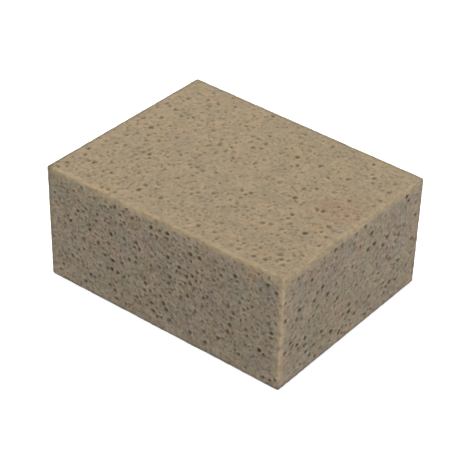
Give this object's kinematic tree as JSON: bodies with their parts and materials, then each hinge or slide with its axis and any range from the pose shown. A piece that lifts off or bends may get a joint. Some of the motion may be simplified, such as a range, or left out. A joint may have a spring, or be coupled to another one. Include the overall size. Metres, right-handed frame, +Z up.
{
  "type": "grout sponge",
  "caption": "Rectangular block of open-cell foam with six flat cut faces and softly rounded edges, held in one hand to wash grout haze off tiles.",
  "frame": {"origin": "centre of the lower large face, the working face that the block rests on", "axes": "+X along the 140 mm length, +Y along the 110 mm width, +Z up through the 62 mm thickness"},
  "size_m": [0.14, 0.11, 0.062],
  "materials": {
    "foam": "matte"
  },
  "bodies": {
    "root": {"sponge_block": "foam"}
  },
  "joints": []
}
